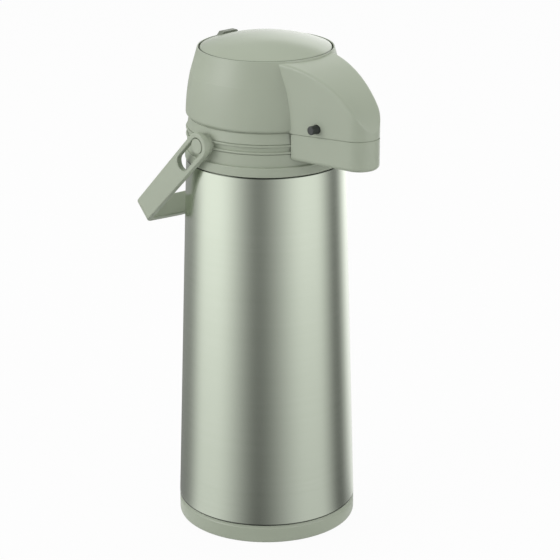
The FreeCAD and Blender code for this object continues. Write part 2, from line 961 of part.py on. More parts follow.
def coil_point(angle, low, pitch):
    height = low + pitch * angle / (2 * math.pi)
    return point(spring_radius * math.cos(angle), spring_radius * math.sin(angle), height)


def coil_tangent(angle, pitch):
    rise = pitch / (2 * math.pi)
    return point(-spring_radius * math.sin(angle), spring_radius * math.cos(angle), rise).normalize()


def tangent_arc(start, tangent, end):
    chord = end - start
    lean = tangent.getAngle(chord)
    apex = start + tangent * (chord.Length / (2 * math.cos(lean)))
    middle = start + chord * 0.5
    crown = middle + (apex - middle) * (math.tan(lean / 2) / math.tan(lean))
    return Part.Arc(start, crown, end).toShape()


def biarc(start, start_tangent, end, end_tangent):
    span = end - start
    both = start_tangent + end_tangent
    a = 2 * (1 - start_tangent.dot(end_tangent))
    b = 2 * span.dot(both)
    reach = (-b + math.sqrt(b * b + 4 * a * span.dot(span))) / (2 * a)
    join = (start + start_tangent * reach + end - end_tangent * reach) * 0.5
    first = tangent_arc(start, start_tangent, join)
    second = tangent_arc(end, end_tangent * -1, join)
    return [first, second]


def least_gap(path):
    # Measured between points of the wire that lie half a turn or more apart along it.
    spots = path.discretize(Number=spring_turns * spring_points_per_turn + 1)
    apart = spring_points_per_turn // 2
    between = [
        spots[i].distanceToPoint(spots[j])
        for i in range(len(spots))
        for j in range(i + apart, len(spots))
    ]
    return min(between) - 2 * spring_wire_radius


def bellows_spring():
    low = plate_top_z + spring_wire_radius + fit_gap
    high = bellows_top_z - spring_wire_radius - fit_gap
    pitch = (high - low) / spring_turns
    edges = []
    for i in range(4 * spring_turns):
        start = i * math.pi / 2
        end = start + math.pi / 2
        edges += biarc(coil_point(start, low, pitch), coil_tangent(start, pitch),
                       coil_point(end, low, pitch), coil_tangent(end, pitch))
    path = Part.Wire(edges)
    print("least gap of the spring to itself", round(least_gap(path), 2))
    wire = Part.makeCircle(spring_wire_radius, coil_point(0, low, pitch), coil_tangent(0, pitch))
    return path.makePipeShell([Part.Wire([wire])], True, False)


def tongue_heights():
    low = button_edge_z - lock_tongue_drop
    return low, low + lock_tongue_thickness


def button_cap():
    inner = button_radius - button_skirt_wall
    inner_mid = inner / 2
    edge_z = button_edge_z - button_edge_round
    body = turned([
        (0, dome_top_z),
        via(button_radius / 2, dome_z(button_radius / 2, 0)),
        (button_radius - button_edge_round, dome_z(button_radius - button_edge_round, 0)),
        (button_radius, edge_z),
        (button_radius, skirt_bottom_z),
        (inner, skirt_bottom_z),
        (inner, dome_z(inner, button_wall)),
        via(inner_mid, dome_z(inner_mid, button_wall)),
        (0, dome_top_z - button_wall),
    ])
    post_top = dome_top_z - button_wall / 2 - (dome_top_z - dome_z(button_post_radius, 0))
    post = ring(button_post_radius - button_post_wall, button_post_radius, press_top_z, post_top)
    body = body.fuse(post)
    slot_half = lock_leg_half + running_gap
    slot_front = lock_ridge_rear - lock_ridge_length - running_gap
    slot_rear = slot_front + lock_leg_length + lock_travel + 2 * running_gap
    body = body.cut(block(-slot_half, slot_half, slot_front, slot_rear,
                          button_edge_z - button_wall, dome_top_z + overcut))
    tongue_low, tongue_high = tongue_heights()
    body = body.cut(block(-slot_half, slot_half, inner - button_wall, button_radius + overcut,
                          tongue_low - running_gap, tongue_high + running_gap))
    return one_solid(body)


def press_plate():
    body = ring(press_plate_hole, press_plate_radius, bellows_top_z, press_top_z)
    middle = (button_post_radius + press_plate_radius) / 2
    length = press_plate_radius - button_post_radius - 2 * press_rib_margin
    for i in range(press_rib_count):
        rib = block(middle - length / 2, middle + length / 2, -press_rib_width / 2, press_rib_width / 2,
                    press_top_z, press_top_z + press_rib_height)
        rib.rotate(origin, up, 360 * i / press_rib_count)
        body = body.fuse(rib)
    return one_solid(body)


def button_lock():
    front = lock_ridge_rear - lock_ridge_length
    base_z = button_edge_z
    top_z = dome_z(front, 0) + lock_ridge_height - (dome_z(front, 0) - dome_z(lock_ridge_rear, 0))
    ridge = Part.Face(Part.makePolygon([
        point(-lock_ridge_base_half, front, base_z),
        point(lock_ridge_base_half, front, base_z),
        point(lock_ridge_top_half, front, top_z),
        point(-lock_ridge_top_half, front, top_z),
        point(-lock_ridge_base_half, front, base_z),
    ])).extrude(point(0, lock_ridge_length, 0))
    dome = Part.makeSphere(dome_radius + running_gap, point(0, 0, dome_centre_z))
    ridge = ridge.cut(dome)
    leg_rear = front + lock_leg_length
    tongue_low, tongue_high = tongue_heights()
    neck_top = dome_z(front, 0) + running_gap + overcut
    leg = block(-lock_leg_half, lock_leg_half, front, leg_rear, tongue_low, neck_top)
    flange_top = button_edge_z - lock_flange_drop
    flange = block(-lock_flange_half, lock_flange_half, front, leg_rear,
                   flange_top - lock_flange_thickness, flange_top)
    tongue = block(-lock_leg_half, lock_leg_half, front, lock_tongue_rear, tongue_low, tongue_high)
    return one_solid(ridge.fuse(leg).fuse(flange).fuse(tongue))


# Lid lock bar


def lid_lock():
    half = nose_half_width(bar_forward, 0)
    left = -half - bar_proud - bar_travel
    length = 2 * half + bar_travel + 2 * bar_proud
    bar = Part.makeCylinder(bar_radius, length, point(left, -bar_forward, bar_z), right)
    bar = bar.makeFillet(bar_end_round, [edge for edge in bar.Edges if edge.BoundBox.XLength < flat_within])
    waist_low = -keeper_inset - keeper_thickness - running_gap
    waist_high = -keeper_inset + running_gap
    waist = ring(bar_waist_radius, 2 * bar_radius, waist_low, waist_high)
    waist.rotate(origin, rearward, 90)
    waist.translate(point(0, -bar_forward, bar_z))
    return one_solid(bar.cut(waist))


# Hinge, studs and handle


def hinge_pin():
    half = knuckle_half + running_gap + lug_width
    return cross_rod(hinge_pin_radius, -half, half, hinge_back, hinge_z)


def is_outer_rim(edge):
    box = edge.BoundBox
    return box.XLength < flat_within and abs(box.Center.x) > strap_outer - flat_within


def handle_studs():
    studs = []
    for side in (-1, 1):
        root = point(side * (boss_face - stud_foot + fit_gap), 0, pivot_z)
        face = point(side * boss_face, 0, pivot_z)
        shank = Part.makeCylinder(stud_shank_radius, stud_foot, root, right * side)
        head = Part.makeCylinder(stud_radius, strap_outer - boss_face, face, right * side)
        rim = [edge for edge in head.Edges if is_outer_rim(edge)]
        head = head.makeFillet(stud_edge_round, rim)
        studs.append(one_solid(shank.fuse(head)))
    return Part.makeCompound(studs)


def strap_loop(inset):
    # The U of the strap, seen square to its arms; the bar bows out to clear the pot.
    half = strap_outer - inset
    reach = strap_reach - inset
    low = -strap_end_half - overcut
    return closed_face(
        [
            (-half, low),
            (-half, reach, strap_corner_round - inset),
            (-strap_bow_half, reach + strap_bow, strap_bow_round - inset),
            (strap_bow_half, reach + strap_bow, strap_bow_round - inset),
            (half, reach, strap_corner_round - inset),
            (half, low),
        ],
        in_plan,
    )


def strap_side():
    # An arm from its edge-on side: a round end about the pivot and a slight taper to the bar.
    end = strap_reach + strap_bow + overcut
    lean = math.asin((strap_end_half - strap_bar_half) / strap_reach)
    touch_y = strap_end_half * math.sin(lean)
    touch_z = strap_end_half * math.cos(lean)
    return closed_face(
        [
            (-touch_y, touch_z),
            via(strap_end_half, 0),
            (-touch_y, -touch_z),
            (-end, -strap_bar_half),
            (-end, strap_bar_half),
        ],
        from_side,
    )


def slot_side():
    half = stud_radius + slot_gap
    return closed_face(
        [
            (0, half),
            via(half, 0),
            (0, -half),
            (-slot_length, -half),
            via(-slot_length - half, 0),
            (-slot_length, half),
        ],
        from_side,
    )


def handle():
    loop = strap_loop(0).cut(strap_loop(strap_thickness)).Faces[0]
    body = raised(loop, -2 * strap_end_half, 2 * strap_end_half)
    body = body.common(across(strap_side(), strap_outer + overcut))
    body = one_solid(body.cut(across(slot_side(), strap_outer + overcut)))
    body = body.makeFillet(strap_edge_round, body.Edges)
    body.translate(point(0, 0, pivot_z))
    body.rotate(point(0, 0, pivot_z), right, -handle_rest_degrees)
    return body


pieces = [
    base_cap, base_pad, outer_shell, shell_bottom, inner_liner, shoulder_ring, collar, mouth_gasket,
    spout_cover, outlet_nozzle, spout_pipe, pipe_seal, dip_tube, tube_packing, hinge_pin, handle_studs,
    head_shell, pump_plate, plate_screws, lid_gasket, air_valve, bellows, bellows_spring,
    button_cap, press_plate, button_lock, lid_lock, handle,
]
os.makedirs("parts", exist_ok=True)
for piece in pieces:
    shape = piece()
    shape.exportStep("parts/" + piece.__name__ + ".step")
    print(piece.__name__, len(shape.Solids), shape.isValid(), round(shape.Volume / 1000, 2))
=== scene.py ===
import math
import bmesh
import bpy
from mathutils import Matrix, Vector


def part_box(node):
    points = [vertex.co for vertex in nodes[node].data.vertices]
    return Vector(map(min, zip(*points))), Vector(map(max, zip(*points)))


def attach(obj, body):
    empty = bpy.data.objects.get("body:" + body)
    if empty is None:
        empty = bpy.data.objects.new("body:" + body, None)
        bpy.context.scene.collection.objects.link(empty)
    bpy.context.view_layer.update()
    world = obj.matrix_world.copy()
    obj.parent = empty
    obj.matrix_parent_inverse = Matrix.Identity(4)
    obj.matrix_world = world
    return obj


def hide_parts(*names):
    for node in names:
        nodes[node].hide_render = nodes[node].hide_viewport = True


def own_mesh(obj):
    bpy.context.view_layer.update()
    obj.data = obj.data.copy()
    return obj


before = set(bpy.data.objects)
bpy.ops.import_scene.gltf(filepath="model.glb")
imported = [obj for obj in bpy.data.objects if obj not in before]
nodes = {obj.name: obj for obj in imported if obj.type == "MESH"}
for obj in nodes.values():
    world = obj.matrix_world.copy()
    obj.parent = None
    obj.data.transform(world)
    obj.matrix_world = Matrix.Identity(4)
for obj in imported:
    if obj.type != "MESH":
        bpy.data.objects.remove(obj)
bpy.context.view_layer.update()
scene = bpy.context.scene
scene.view_settings.view_transform = "Standard"
mm = 0.001
print("frame loaded:", len(nodes), "solids")


# shader maths: a wrapped socket takes part in sums, and one method makes every other node

class Wire:
    def __init__(self, paint, socket):
        self.paint = paint
        self.socket = socket

    def sum(self, operation, left, right):
        return self.paint.node("ShaderNodeMath", {"operation": operation}, {0: left, 1: right})

    def __add__(self, other):
        return self.sum("ADD", self, other)

    def __radd__(self, other):
        return self.sum("ADD", other, self)

    def __sub__(self, other):
        return self.sum("SUBTRACT", self, other)

    def __rsub__(self, other):
        return self.sum("SUBTRACT", other, self)

    def __mul__(self, other):
        return self.sum("MULTIPLY", self, other)

    def __rmul__(self, other):
        return self.sum("MULTIPLY", other, self)

    def __truediv__(self, other):
        return self.sum("DIVIDE", self, other)

    def __rtruediv__(self, other):
        return self.sum("DIVIDE", other, self)


class Paint:
    def __init__(self, tree):
        self.tree = tree
        self.tree.nodes.clear()

    def node(self, kind, settings=None, sockets=None, out=0):
        made = self.tree.nodes.new(kind)
        for key, value in (settings or {}).items():
            setattr(made, key, value)
        for key, value in (sockets or {}).items():
            if isinstance(value, Wire):
                self.tree.links.new(value.socket, made.inputs[key])
            else:
                made.inputs[key].default_value = value
        return Wire(self, made.outputs[out]) if len(made.outputs) else None

    def blendColour(self, share, first, second):
        return self.node("ShaderNodeMix", {"data_type": "RGBA"}, {0: share, 6: first, 7: second}, out=2)

    def fade(self, value, start, end):
        return self.node("ShaderNodeMapRange", {"interpolation_type": "SMOOTHSTEP"}, {
            "Value": value, "From Min": start, "From Max": end, "To Min": 0.0, "To Max": 1.0})

    def part(self, vector, axis):
        return self.node("ShaderNodeSeparateXYZ", None, {"Vector": vector}, out=axis)

    def noise(self, place, scale, detail=2.0, stretch=None):
        if stretch:
            place = self.node("ShaderNodeMapping", None, {"Vector": place, "Scale": stretch})
        return self.node("ShaderNodeTexNoise", None, {"Vector": place, "Scale": scale, "Detail": detail})


def newMaterial(name):
    material = bpy.data.materials.new(name)
    material.use_nodes = True
    return material, Paint(material.node_tree)


def closeMaterial(paint, sockets):
    surface = paint.node("ShaderNodeBsdfPrincipled", None, sockets)
    paint.node("ShaderNodeOutputMaterial", None, {"Surface": surface})


def rgb(red, green, blue):
    return (red, green, blue, 1.0)


# moulded plastics and rubbers: a soft cloud of tone, a fine spark-eroded grain in gloss and relief

def mouldedFinish(name, look):
    material, paint = newMaterial(name)
    place = paint.node("ShaderNodeTexCoord", out="Object")
    cloud = paint.noise(place, look["cloudScale"])
    grain = paint.noise(place, look["grainScale"], detail=3.0)
    relief = paint.node("ShaderNodeBump", None, {
        "Strength": look["reliefStrength"], "Distance": look["reliefDepth"], "Height": grain})
    tone = paint.blendColour(cloud, look["darker"], look["lighter"])
    if "seamFrom" in look:  # painted shade: the edge is darkened where it dips into its seam, in place of the shadow there
        flat = paint.node("ShaderNodeVectorMath", {"operation": "MULTIPLY"}, {0: place, 1: (1.0, 1.0, 0.0)})
        out = paint.node("ShaderNodeVectorMath", {"operation": "LENGTH"}, {0: flat}, out="Value")
        tone = paint.blendColour(paint.fade(out, look["seamFrom"], look["seamTo"]), tone, look["seamShadeTone"])
    sheen = (grain - 0.5) * look["roughnessSpread"] + (cloud - 0.5) * look["cloudSheen"]
    closeMaterial(paint, {
        "Base Color": tone,
        "Roughness": look["roughness"] + sheen,
        "Specular IOR Level": look["shine"],
        "Normal": relief,
    })
    return material


plasticLook = {
    "cloudScale": 22.0, "grainScale": 2600.0, "cloudSheen": 0.06,
    "darker": rgb(0.335, 0.376, 0.292), "lighter": rgb(0.368, 0.410, 0.322),
    "roughness": 0.40, "roughnessSpread": 0.16, "shine": 0.5,
    "reliefStrength": 0.10, "reliefDepth": 0.05 * mm,
}
sagePlastic = mouldedFinish("sagePlastic", plasticLook)
# the dome's finish paints shade in a thin dark ring at its edge
domePlastic = mouldedFinish("domePlastic", {
    **plasticLook, "roughness": 0.22, "reliefStrength": 0.06,
    "seamFrom": 44.75 * mm, "seamTo": 45.35 * mm, "seamShadeTone": rgb(0.13, 0.15, 0.115)})
# painted shade: the lock tab is the same sage plastic, given a darker copy to stand in for its shade
shadedTabPlastic = mouldedFinish("shadedTabPlastic", {
    **plasticLook, "darker": rgb(0.165, 0.182, 0.146), "lighter": rgb(0.190, 0.208, 0.168)})
blackPlastic = mouldedFinish("blackPlastic", {
    **plasticLook, "darker": rgb(0.022, 0.026, 0.024), "lighter": rgb(0.034, 0.038, 0.036),
    "roughness": 0.34})
innerPlastic = mouldedFinish("innerPlastic", {
    **plasticLook, "darker": rgb(0.68, 0.69, 0.65), "lighter": rgb(0.74, 0.75, 0.71), "roughness": 0.45})
pipePlastic = mouldedFinish("pipePlastic", {
    **plasticLook, "darker": rgb(0.73, 0.74, 0.71), "lighter": rgb(0.80, 0.81, 0.78), "roughness": 0.28})
sealRubber = mouldedFinish("sealRubber", {
    **plasticLook, "darker": rgb(0.58, 0.59, 0.56), "lighter": rgb(0.66, 0.67, 0.64),
    "roughness": 0.62, "shine": 0.3, "grainScale": 1500.0, "reliefStrength": 0.2})
footRubber = mouldedFinish("footRubber", {
    **plasticLook, "darker": rgb(0.030, 0.032, 0.030), "lighter": rgb(0.050, 0.052, 0.050),
    "roughness": 0.70, "shine": 0.3, "grainScale": 1300.0, "reliefStrength": 0.3})


# brushed steel: hair-fine lines round the flask, longer streaks over them, a faint roll of tone

def brushedFinish(name, look):
    material, paint = newMaterial(name)
    place = paint.node("ShaderNodeTexCoord", out="Object")
    hairs = paint.noise(place, 1.0, 2.0, look["hairStretch"])
    streaks = paint.noise(place, 1.0, 2.0, look["streakStretch"])
    roll = paint.noise(place, look["rollScale"])
    brushed = hairs * look["hairShare"] + streaks * (1 - look["hairShare"])
    relief = paint.node("ShaderNodeBump", None, {
        "Strength": look["reliefStrength"], "Distance": look["reliefDepth"], "Height": brushed})
    tint = streaks * look["streakShare"] + roll * (1 - look["streakShare"])
    tone = paint.blendColour(tint, look["darker"], look["lighter"])
    if "hemShadeTone" in look:  # painted shade: a thin dark line on the steel at foot and shoulder, where it meets the plastic rings
        height = paint.part(place, "Z")
        hemShade = paint.fade(height, *look["upperHemShade"]) + paint.fade(height, *look["lowerHemShade"])
        tone = paint.blendColour(hemShade, tone, look["hemShadeTone"])
    sheen = (hairs - 0.5) * look["hairSpread"] + (streaks - 0.5) * look["streakSpread"]
    closeMaterial(paint, {
        "Base Color": tone,
        "Metallic": 1.0,
        "Roughness": look["roughness"] + sheen,
        "Anisotropic": look["brushing"],
        "Normal": relief,
    })
    return material


steelLook = {
    "hairStretch": (26.0, 26.0, 5200.0), "streakStretch": (7.0, 7.0, 900.0), "rollScale": 9.0,
    "darker": rgb(0.590, 0.648, 0.535), "lighter": rgb(0.640, 0.692, 0.590),
    "roughness": 0.21, "hairSpread": 0.10, "streakSpread": 0.05, "brushing": 0.35,
    "hairShare": 0.7, "streakShare": 0.6,
    "reliefStrength": 0.05, "reliefDepth": 0.02 * mm,
}
# the flask's steel carries painted shade lines at its upper and lower hem
flaskSteel = brushedFinish("flaskSteel", {
    **steelLook, "hemShadeTone": rgb(0.10, 0.11, 0.09), "upperHemShade": (266.25 * mm, 266.65 * mm),
    "lowerHemShade": (15.1 * mm, 14.7 * mm)})
linerSteel = brushedFinish("linerSteel", {
    **steelLook, "darker": rgb(0.60, 0.61, 0.59), "lighter": rgb(0.66, 0.67, 0.65), "roughness": 0.26})
pinSteel = brushedFinish("pinSteel", {
    **steelLook, "darker": rgb(0.58, 0.58, 0.57), "lighter": rgb(0.66, 0.66, 0.65), "roughness": 0.24,
    "hairStretch": (900.0, 900.0, 900.0), "streakStretch": (300.0, 300.0, 300.0)})
print("finishes mixed:", len(bpy.data.materials))

finishOf = {
    "base_cap": sagePlastic, "base_pad": footRubber, "outer_shell": flaskSteel, "shell_bottom": flaskSteel,
    "inner_liner": linerSteel, "shoulder_ring": sagePlastic, "collar": sagePlastic,
    "mouth_gasket": sealRubber, "spout_cover": sagePlastic, "outlet_nozzle": innerPlastic,
    "spout_pipe": pipePlastic, "pipe_seal": sealRubber, "dip_tube": pipePlastic, "tube_packing": sealRubber,
    "hinge_pin": pinSteel, "handle_studs": sagePlastic, "head_shell": sagePlastic, "pump_plate": innerPlastic,
    "plate_screws": pinSteel, "lid_gasket": sealRubber, "air_valve": sealRubber, "bellows": sealRubber,
    "bellows_spring": pinSteel, "button_cap": domePlastic, "press_plate": innerPlastic,
    "button_lock": shadedTabPlastic, "lid_lock": blackPlastic, "handle": sagePlastic,
}
for name, material in finishOf.items():
    nodes[name].data.materials.clear()
    nodes[name].data.materials.append(material)
print("solids finished:", len(finishOf))


# turned work: a section drawn as a few points (out from the axis, up), corners rounded, then spun
shadingSet = {"mergeWithin": 0.001, "sharpDegrees": 38.0}


def turnSection(section, look, closed=True):
    bm = bmesh.new()
    rail = [bm.verts.new((out * mm, 0, up)) for out, up in section]
    for first, second in zip(rail, rail[1:]):
        bm.edges.new((first, second))
    if closed:
        bm.edges.new((rail[-1], rail[0]))
    bmesh.ops.bevel(bm, geom=[vert for vert in rail if vert.co.x > 0], offset=look["cornerRound"] * mm,
                    affect="VERTICES", segments=look["cornerSteps"], profile=0.5, material=-1)
    bmesh.ops.spin(bm, geom=bm.verts[:] + bm.edges[:], cent=(0, 0, 0), axis=(0, 0, 1), angle=2 * math.pi,
                   steps=look["steps"], use_merge=True)
    closeSkin(bm)
    return bm


def closeSkin(bm):
    bmesh.ops.remove_doubles(bm, verts=bm.verts, dist=shadingSet["mergeWithin"] * mm)
    bmesh.ops.recalc_face_normals(bm, faces=bm.faces)


def addPiece(name, bm, finish, body, slot, *replaced):
    mesh = bpy.data.meshes.new(name)
    bm.to_mesh(mesh)
    bm.free()
    mesh.shade_smooth()
    mesh.set_sharp_from_angle(angle=math.radians(shadingSet["sharpDegrees"]))
    mesh.materials.append(finish)
    piece = bpy.data.objects.new(name, mesh)
    scene.collection.objects.link(piece)
    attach(piece, body)
    if replaced:
        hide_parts(*replaced)
    return piece


def reachAndHeights(node):
    low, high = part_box(node)
    return (high.x - low.x) / 2 / mm, low.z, high.z


# base cap: a plain band with a fine step under the steel, a tight lower edge and a seat for the foot ring
baseSet = {
    "grow": 0.2, "topStep": 0.45, "stepDepth": 1.7, "slant": 0.5, "bottom": 0.6,
    "edge": 1.4, "edgeBulge": 0.3, "bandTop": 13.7,
    "seatIn": 43.85, "seatOut": 53.15, "seatTop": 2.25, "floor": 4.6, "wall": 2.4, "spigotOut": 62.1,
    "cornerRound": 0.3, "cornerSteps": 3, "steps": 192,
}


def makeBaseBand(look):
    reach, low, high = reachAndHeights("base_cap")
    out = reach + look["grow"]
    step, edge, inner = out - look["topStep"], look["edge"], look["spigotOut"] - look["wall"]
    bottom, top, seat, floor = (look[key] * mm for key in ("bottom", "bandTop", "seatTop", "floor"))
    ledge = top - look["stepDepth"] * mm
    bulge = look["edgeBulge"] * edge
    section = [
        (0, bottom), (look["seatIn"], bottom), (look["seatIn"], seat), (look["seatOut"], seat),
        (look["seatOut"], bottom), (out - edge, bottom), (out - bulge, bottom + bulge * mm),
        (out, bottom + edge * mm), (out, ledge - look["slant"] * mm), (step, ledge), (step, top),
        (look["spigotOut"], top), (look["spigotOut"], high), (inner, high), (inner, floor), (0, floor),
    ]
    bm = turnSection(section, look, closed=False)
    return addPiece("baseBand", bm, sagePlastic, "pot", "sage_plastic", "base_cap")


# lip on the collar's top edge, which closes the parting line under the head
lipSet = {"low": 297.15, "high": 297.62, "out": 52.9, "width": 1.0,
          "cornerRound": 0.1, "cornerSteps": 2, "steps": 160}


def makeCollarLip(look):
    out, inner = look["out"], look["out"] - look["width"]
    low, high = look["low"] * mm, look["high"] * mm
    section = [(inner, low), (out, low), (out, high), (inner, high)]
    return addPiece("collarLip", turnSection(section, look), sagePlastic, "pot", "sage_plastic")


# lip inside the spout cover's top edge, which closes the parting line under the nose
noseLipSet = {"inset": 0.6, "wall": 0.7, "tipRound": 13.4, "tipSteps": 40, "taper": 12.0, "root": 51.5,
              "low": 296.6, "high": 297.6, "seamFrom": 52.0, "seamRise": 0.05}


def makeNoseLip(look):
    tip = (look["tipRound"] - look["inset"]) * mm
    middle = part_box("spout_cover")[0].y + look["tipRound"] * mm
    turn, root, low = math.radians(look["taper"]), -look["root"] * mm, look["low"] * mm
    half = tip / math.cos(turn) + (root - middle) * math.tan(turn)
    bm = bmesh.new()
    start = bm.verts.new((-half, root, low))
    touch = bm.verts.new((-tip * math.cos(turn), middle - tip * math.sin(turn), low))
    bm.edges.new((start, touch))
    arc = bmesh.ops.spin(bm, geom=[touch], cent=(0, middle, low), axis=(0, 0, 1), angle=math.pi - 2 * turn,
                         steps=look["tipSteps"], use_merge=False)["geom_last"]
    bm.edges.new((arc[0], bm.verts.new((half, root, low))))
    wall = bmesh.ops.extrude_edge_only(bm, edges=bm.edges[:])["geom"]
    top = [vert for vert in wall if isinstance(vert, bmesh.types.BMVert)]
    bmesh.ops.translate(bm, verts=top, vec=(0, 0, (look["high"] - look["low"]) * mm))
    bmesh.ops.solidify(bm, geom=bm.faces[:], thickness=-look["wall"] * mm)
    climb = Matrix.Identity(4)  # the parting line rises towards the tip
    climb[2][1], climb[2][3] = -look["seamRise"], -look["seamRise"] * look["seamFrom"] * mm
    bmesh.ops.transform(bm, matrix=climb, verts=bm.verts)
    closeSkin(bm)
    return addPiece("noseLip", bm, sagePlastic, "pot", "sage_plastic")


# rubber foot ring with two tread grooves on its sole
footSet = {"width": 9.0, "groove": 1.4, "depth": 0.5, "cornerRound": 0.35, "cornerSteps": 3, "steps": 128}


def makeFootRing(look):
    out, low, high = reachAndHeights("base_pad")
    inner = out - look["width"]
    sole = [(inner, low)]
    for share in (1 / 3, 2 / 3):
        middle = inner + share * look["width"]
        near, far = middle - look["groove"] / 2, middle + look["groove"] / 2
        roof = low + look["depth"] * mm
        sole += [(near, low), (near + look["depth"], roof), (far - look["depth"], roof), (far, low)]
    section = sole + [(out, low), (out, high), (inner, high)]
    return addPiece("footRing", turnSection(section, look), footRubber, "pot", "foot_rubber", "base_pad")


# seals of the mouth and the lid
mouthSealSet = {"width": 3.0, "cornerRound": 0.5, "cornerSteps": 3, "steps": 96}
lidSealSet = {"width": 5.0, "lip": 0.9, "furrow": 0.7, "chamfer": 0.5,
              "cornerRound": 0.3, "cornerSteps": 3, "steps": 96}


def makeMouthSeal(look):
    out, low, high = reachAndHeights("mouth_gasket")
    inner = out - look["width"]
    section = [(inner, low), (out, low), (out, high), (inner, high)]
    return addPiece("mouthSeal", turnSection(section, look), sealRubber, "pot", "silicone", "mouth_gasket")


def makeLidSeal(look):
    out, low, high = reachAndHeights("lid_gasket")
    width, lip = look["width"], look["lip"]
    inner, middle = out - width, out - width / 2
    furrow, edge = low + look["furrow"] * mm, low + look["chamfer"] * mm
    section = [(inner, edge), (inner + lip, low), (middle - lip, low), (middle - lip / 2, furrow),
               (middle + lip / 2, furrow), (middle + lip, low), (out - lip, low), (out, edge),
               (out, high), (inner, high)]
    return addPiece("lidSeal", turnSection(section, look), sealRubber, "head", "silicone", "lid_gasket")


# flap valve: a thin umbrella with a stem and a barb that holds it in the plate
valveSet = {"flap": 1.0, "flatShare": 0.55, "thin": 0.5, "stem": 1.5, "barb": 2.3, "barbHeight": 1.2,
            "barbTip": 0.45, "cornerRound": 0.2, "cornerSteps": 2, "steps": 48}


def makeFlapValve(look):
    out, low, high = reachAndHeights("air_valve")
    seat, barb = low + look["flap"] * mm, high - look["barbHeight"] * mm
    flat, rim, tip = out * look["flatShare"], seat - look["thin"] * mm, look["barb"] * look["barbTip"]
    section = [(0, low), (flat, low), (out, rim), (out, seat), (look["stem"], seat),
               (look["stem"], barb), (look["barb"], barb), (tip, high), (0, high)]
    bm = turnSection(section, look, closed=False)
    return addPiece("flapValve", bm, sealRubber, "head", "silicone", "air_valve")


# ribbed sleeves that grip the pouring pipe
sleeveSet = {
    "tubePacking": {"node": "tube_packing", "along": "z", "wall": 1.95, "ribs": 4, "ribDepth": 0.5},
    "pipeSeal": {"node": "pipe_seal", "along": "y", "wall": 1.15, "ribs": 2, "ribDepth": 0.35},
    "gapShare": 0.2, "dipShare": 0.1, "cornerRound": 0.15, "cornerSteps": 2, "steps": 48,
}


def makeSleeve(name, look, shared):
    low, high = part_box(look["node"])
    middle = (low + high) / 2
    out = (high.x - low.x) / 2 / mm
    length = high.z - low.z if look["along"] == "z" else high.y - low.y
    inner, dip = out - look["wall"], out - look["ribDepth"]
    section = [(inner, -length / 2), (out, -length / 2)]
    pitch = length / look["ribs"]
    for rib in range(look["ribs"] - 1):
        gap = -length / 2 + pitch * (rib + 1)
        wide, deep = pitch * shared["gapShare"], pitch * shared["dipShare"]
        section += [(out, gap - wide), (dip, gap - deep), (dip, gap + deep), (out, gap + wide)]
    section += [(out, length / 2), (inner, length / 2)]
    bm = turnSection(section, shared)
    if look["along"] == "y":
        bmesh.ops.rotate(bm, verts=bm.verts, cent=(0, 0, 0), matrix=Matrix.Rotation(math.pi / 2, 3, "X"))
    bmesh.ops.translate(bm, verts=bm.verts, vec=middle)
    return addPiece(name, bm, sealRubber, "pot", "silicone", look["node"])


# bellows and its return spring under the button, which close up when it is pressed; here they are built at
# rest
bellowsSet = {"lip": 1.2, "folds": 4, "foldDepth": 6.5, "wall": 1.0, "cornerRound": 0.45, "cornerSteps": 3,
              "steps": 96, "press": 0.020, "clear": 0.1}
springSet = {"wire": 0.9, "turns": 6, "turnSteps": 40, "wireSteps": 10}


def pressTogether(piece):
    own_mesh(piece)


def makeBellows(look):
    out, low, high = reachAndHeights("bellows")
    low, high = low + look["clear"] * mm, high - look["clear"] * mm
    inner, wall = out - look["foldDepth"], look["wall"]
    start, end = low + look["lip"] * mm, high - look["lip"] * mm
    fold = (end - start) / look["folds"]
    skin = [(inner + wall, start)]
    lining = [(inner, start)]
    for count in range(look["folds"]):
        skin += [(out, start + fold * (count + 0.5)), (inner + wall, start + fold * (count + 1))]
        lining += [(out - wall, start + fold * (count + 0.5)), (inner, start + fold * (count + 1))]
    section = [(inner, low), (out, low), (out, start)] + skin
    section += [(out, end), (out, high), (inner, high)] + lining[::-1]
    piece = addPiece("bellowsSkin", turnSection(section, look), sealRubber, "head", "silicone", "bellows")
    pressTogether(piece)


def makeSpring(look):
    low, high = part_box("bellows_spring")
    wire = look["wire"] * mm
    coil = (high.x - low.x) / 2 - wire
    steps = look["turns"] * look["turnSteps"]
    rise = high.z - low.z - 2 * wire
    bm = bmesh.new()
    ring = bmesh.ops.create_circle(bm, cap_ends=False, radius=wire, segments=look["wireSteps"])["verts"]
    bmesh.ops.rotate(bm, verts=ring, cent=(0, 0, 0), matrix=Matrix.Rotation(math.pi / 2, 3, "X"))
    bmesh.ops.translate(bm, verts=ring, vec=(coil, 0, low.z + wire))
    bmesh.ops.spin(bm, geom=bm.verts[:] + bm.edges[:], cent=(0, 0, 0), axis=(0, 0, 1),
                   dvec=(0, 0, rise / steps), angle=2 * math.pi * look["turns"], steps=steps, use_merge=False)
    bmesh.ops.holes_fill(bm, edges=[edge for edge in bm.edges if edge.is_boundary], sides=look["wireSteps"])
    closeSkin(bm)
    piece = addPiece("returnSpring", bm, pinSteel, "head", "bright_steel", "bellows_spring")
    pressTogether(piece)


makeBaseBand(baseSet)
makeCollarLip(lipSet)
makeNoseLip(noseLipSet)
makeFootRing(footSet)
makeMouthSeal(mouthSealSet)
makeLidSeal(lidSealSet)
makeFlapValve(valveSet)
for name in ("tubePacking", "pipeSeal"):
    makeSleeve(name, sleeveSet[name], sleeveSet)
makeBellows(bellowsSet)
makeSpring(springSet)
print("new pieces made")


# studio: camera, lamps, floor and the banded reflector that only shows in gloss

cameraSet = {
    "azimuth": -42.0, "elevation": 19.471, "distance": 1.580, "lens": 143.6, "sensor": 36.0,
    "aimHeight": 0.1755, "aimAside": 0.00964,
}


def cameraSide():
    turn = math.radians(cameraSet["azimuth"])
    return Vector((math.sin(turn), -math.cos(turn), 0)), Vector((math.cos(turn), math.sin(turn), 0))


